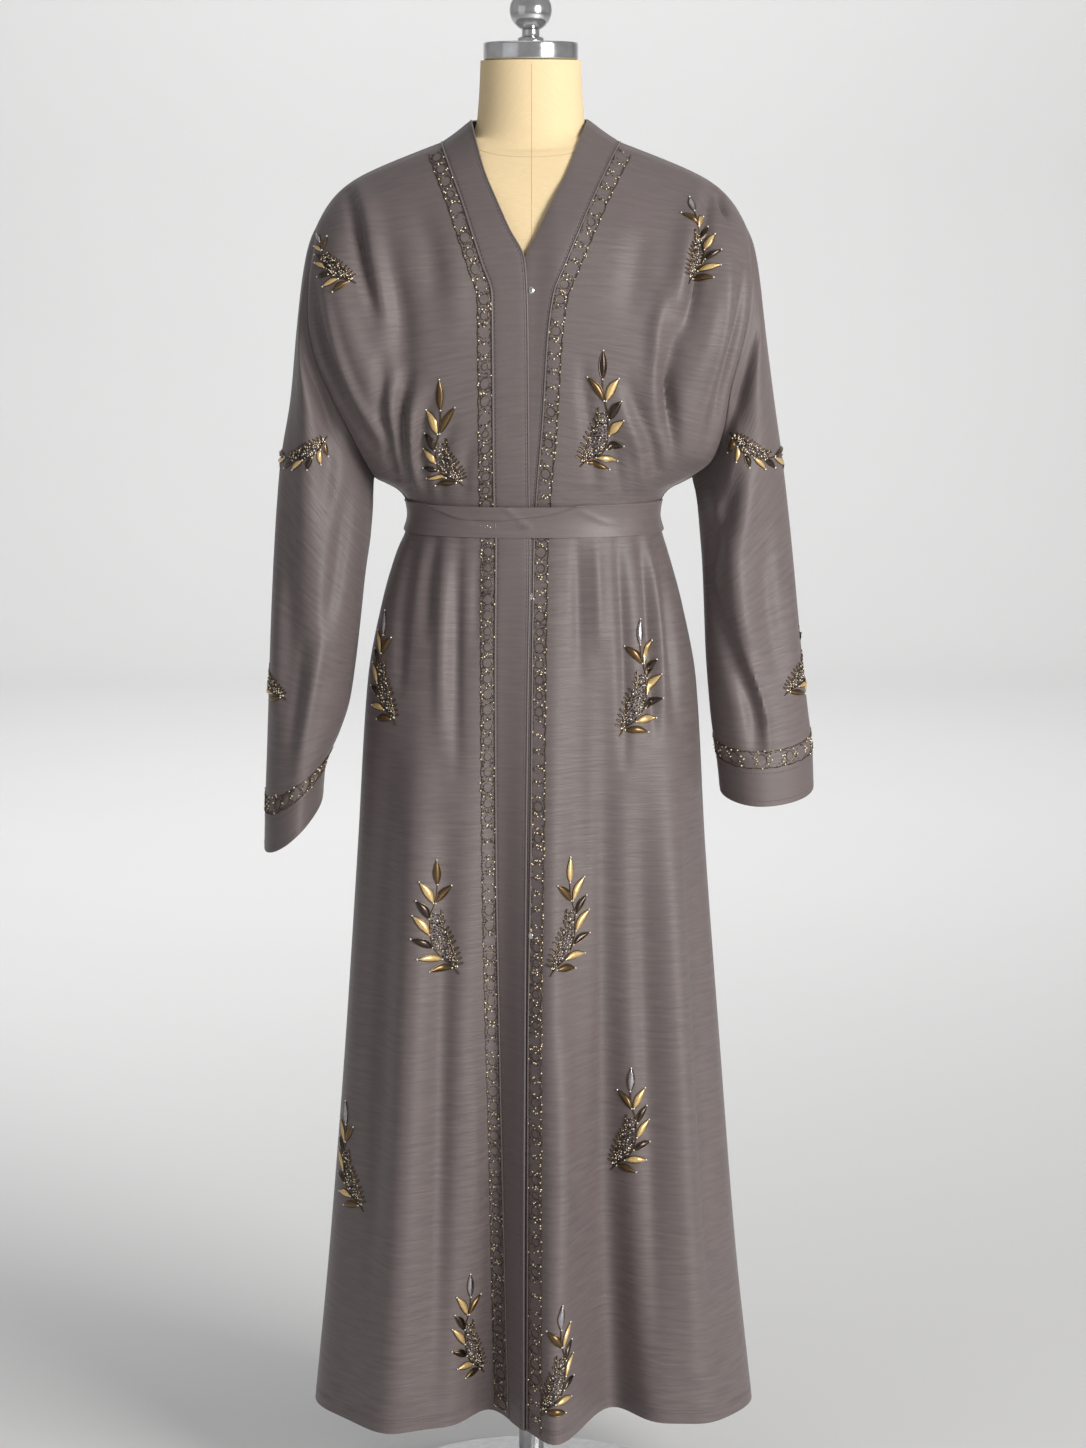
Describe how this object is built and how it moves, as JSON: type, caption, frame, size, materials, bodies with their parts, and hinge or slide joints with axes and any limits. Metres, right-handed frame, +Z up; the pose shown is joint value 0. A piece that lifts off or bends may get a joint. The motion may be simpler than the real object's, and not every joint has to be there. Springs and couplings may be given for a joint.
{
  "type": "abaya cloak on a dress form",
  "caption": "Long belted open-front cloak with batwing bodice, cuffed sleeves and leaf applique, worn by a limbless dress form on a round stand.",
  "frame": {"origin": "centre of the stand base's underside, on the floor", "axes": "+Z up, -Y out of the garment's front, +X to the wearer's left"},
  "size_m": [0.61, 0.3419, 1.694],
  "materials": {
    "crepe": "soft satin crepe, taupe grey",
    "linen": "plain ivory linen",
    "polished_metal": "polished",
    "stand_metal": "satin",
    "snap_metal": "small polished studs",
    "leaf_stone": "foiled leaf stones, gold, bronze, silver and near black"
  },
  "bodies": {
    "root": {"back_panel": "crepe", "front_left": "crepe", "front_right": "crepe", "sleeve_left": "crepe", "sleeve_right": "crepe", "cuff_left": "crepe", "cuff_right": "crepe", "front_band_left": "crepe", "front_band_right": "crepe", "back_neck_band": "crepe", "belt": "crepe", "form_torso": "linen", "form_neck_cap": "polished_metal", "form_finial": "polished_metal", "stand_pole": "stand_metal", "stand_base": "stand_metal", "snap_top": "snap_metal", "snap_middle": "snap_metal", "snap_low": "snap_metal", "spray_left_chest": "leaf_stone", "spray_left_hip": "leaf_stone", "spray_left_knee": "leaf_stone", "spray_left_low": "leaf_stone", "spray_left_hem": "leaf_stone", "spray_right_chest": "leaf_stone", "spray_right_hip": "leaf_stone", "spray_right_knee": "leaf_stone", "spray_right_low": "leaf_stone", "spray_right_hem": "leaf_stone"}
  },
  "joints": []
}
